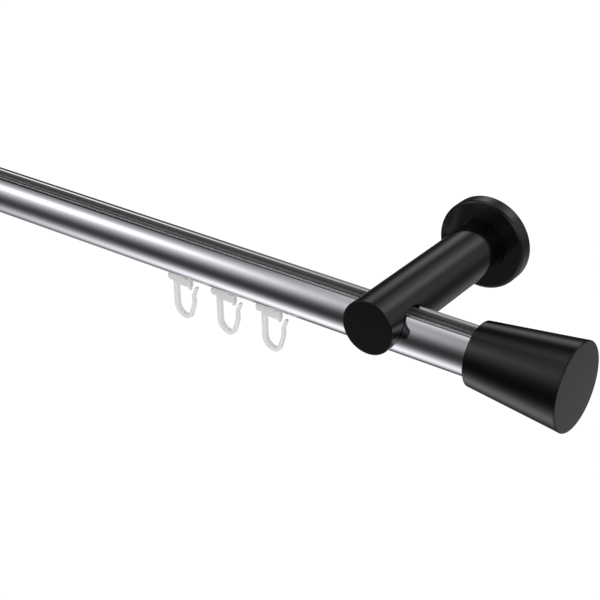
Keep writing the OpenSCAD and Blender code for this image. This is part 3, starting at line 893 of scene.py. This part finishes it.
# Hooks. Each is moulded in one: a bar with a thick end and a small tab, and a flat
# strip that goes down, round and up again, and narrows towards its tip.
BAR_W, BAR_LEN, BAR_H, BLOCK_H = 3.0, 12.4, 3.2, 4.2
BAR_END_R, BAR_EDGE = 1.3, 0.3
TAB_H, TAB_W, TAB_ACROSS = 5.7, 1.3, 1.8
TAB_INSET, TAB_ROOT, TAB_ROUND = 0.07, 0.9, 0.55
STRIP_T, STRIP_W, STRIP_EDGE, STEM_X = 1.85, 2.55, 0.22, 2.35
LINE_DROP = 0.4
EVEN_SHARE, TIP_SHARE = 0.45, 0.64
STRIP_RUNS = ((13.8, None), (5.2, 90), (2.6, 71), (5.6, None), (6.0, 24), (1.0, None),
              (4.0, -30), (3.4, None))


def strip_line():
    """Points (x, z) down the stem, round the bend and up the leg, and the last heading.
    Each run is a straight length, or a bend's radius and its turn in degrees."""
    x, z, heading = -STEM_X, -BAR_TOP - LINE_DROP, -90.0
    line = [(x, z)]
    for size, turn in STRIP_RUNS:
        steps = 6 if turn is None else max(2, round(abs(turn) / 5))
        length = size if turn is None else size * math.radians(abs(turn))
        bend = (turn or 0) / steps
        for _ in range(steps):
            heading += bend / 2
            x += length / steps * math.cos(math.radians(heading))
            z += length / steps * math.sin(math.radians(heading))
            heading += bend / 2
            line.append((x, z))
    return line, heading


def hook_tree():
    """The strip swept along its line, joined with the bar and the tab, then moved to its
    place. The start mesh marks its parts by their share of the strip's full size: a
    share of 0 is the bar and one below 0 is the tab."""
    tree, given = geometry_tree("hook", (
        ("Strip Width", "Float"), ("Strip Thickness", "Float"), ("Edge", "Float"),
        ("Along Rod", "Float"), ("Finish", "Material")))
    share = add_node(tree, "GeometryNodeInputNamedAttribute", {"Name": "share"})
    is_line = math_node(tree, "GREATER_THAN", share.outputs[0], 0.01)
    is_tab = math_node(tree, "LESS_THAN", share.outputs[0], -0.5)
    parts = add_node(tree, "GeometryNodeSeparateGeometry",
                     {"Geometry": given["Geometry"], "Selection": is_line})
    solids = add_node(tree, "GeometryNodeSeparateGeometry",
                      {"Geometry": parts.outputs[1], "Selection": is_tab})
    line = add_node(tree, "GeometryNodeMeshToCurve", {"Mesh": parts.outputs[0]})
    level = add_node(tree, "GeometryNodeSetCurveNormal",
                     {"Curve": line.outputs[0], "Normal": (0, 1, 0)}, mode="FREE")
    section = add_node(tree, "GeometryNodeCurvePrimitiveQuadrilateral",
                       {"Width": given["Strip Width"], "Height": given["Strip Thickness"]})
    soft = add_node(tree, "GeometryNodeFilletCurve", {
        "Curve": section.outputs[0], "Radius": given["Edge"], "Count": 5}, mode="POLY")
    strip = add_node(tree, "GeometryNodeCurveToMesh", {
        "Curve": level.outputs[0], "Profile Curve": soft.outputs[0],
        "Scale": share.outputs[0], "Fill Caps": True})
    whole = add_node(tree, "GeometryNodeMeshBoolean", {"Mesh 2": solids.outputs[1]},
                     operation="UNION", solver="MANIFOLD")
    tree.links.new(strip.outputs[0], whole.inputs["Mesh 2"])
    tree.links.new(solids.outputs[0], whole.inputs["Mesh 2"])
    offset = add_node(tree, "ShaderNodeCombineXYZ", {"X": given["Along Rod"]})
    moved = add_node(tree, "GeometryNodeTransform",
                     {"Geometry": whole.outputs[0], "Translation": offset.outputs[0]})
    finish_geometry(tree, moved.outputs[0], given["Finish"])
    return tree


def across(u, v, w):
    """Point of a side view of the hook, at a distance across the rod."""
    return Vector((u, ROD_Y + w, ROD_Z + v))


def hook_parts():
    """The bar and the tab as solids and the strip's line as loose edges, in one mesh."""
    half_bar, under_bar, block = BAR_LEN / 2, -BAR_TOP - BAR_H, -BAR_TOP - BLOCK_H
    solids = prism(rounded([
        (-half_bar, -BAR_TOP, BAR_END_R), (half_bar, -BAR_TOP, BAR_EDGE),
        (half_bar, block, BAR_EDGE), (-STEM_X, block, BAR_EDGE), (-STEM_X, under_bar, BAR_EDGE),
        (-half_bar, under_bar, BAR_END_R)], closed=True, steps=8),
        across, -BAR_W / 2, BAR_W / 2, BAR_EDGE)
    share = solids.verts.layers.float.new("share")
    tab_right, tab_left, tab_low = half_bar - TAB_INSET, half_bar - TAB_W, -BAR_TOP - TAB_H
    tab = mesh_from(prism(rounded([
        (tab_right, block + TAB_ROOT, 0), (tab_right, tab_low, TAB_ROUND),
        (tab_left, tab_low, TAB_ROUND), (tab_left, block + TAB_ROOT, 0)],
        closed=True), across, -TAB_ACROSS / 2, TAB_ACROSS / 2, BAR_EDGE), "tab")
    bar_verts = len(solids.verts)
    solids.from_mesh(tab)
    for vert in list(solids.verts)[bar_verts:]:
        vert[share] = -1
    line, heading = strip_line()
    tip = Vector(line[-1])
    ahead = Vector((math.cos(math.radians(heading)), math.sin(math.radians(heading))))
    along = [LINE_DROP]
    for a, b in zip(line, line[1:]):
        along.append(along[-1] + math.dist(a, b))
    shares = [1 - (1 - TIP_SHARE) * max(0, reached / along[-1] - EVEN_SHARE) / (1 - EVEN_SHARE)
              for reached in along]
    nose, nose_angles = STRIP_T * TIP_SHARE / 2, (25, 45, 62, 76, 86)
    for angle in nose_angles:
        turn = math.radians(angle)
        line.append(tuple(tip + ahead * nose * math.sin(turn)))
        shares.append(TIP_SHARE * math.cos(turn))
    before = None
    for (x, z), width in zip(line, shares):
        vert = solids.verts.new(across(x, z, 0) * MM)
        vert[share] = width
        if before:
            solids.edges.new((before, vert))
        before = vert
    return mesh_from(solids, "hook_parts")


hook_shape = hook_tree()
hook_start = hook_parts()
hook_plastic = pale_plastic("hook_plastic", (0.715, 0.715, 0.71), (0.765, 0.765, 0.76))
for number in GLIDERS:
    hook = grown(hook_start, hook_shape, Strip_Width=STRIP_W * MM, Strip_Thickness=STRIP_T * MM,
                 Edge=STRIP_EDGE * MM, Along_Rod=middle_mm("runner_" + number).x * MM,
                 Finish=hook_plastic)
    piece("hook_body_" + number, hook, hook_plastic, "hook_plastic", "glider_" + number,
          "hook_" + number)
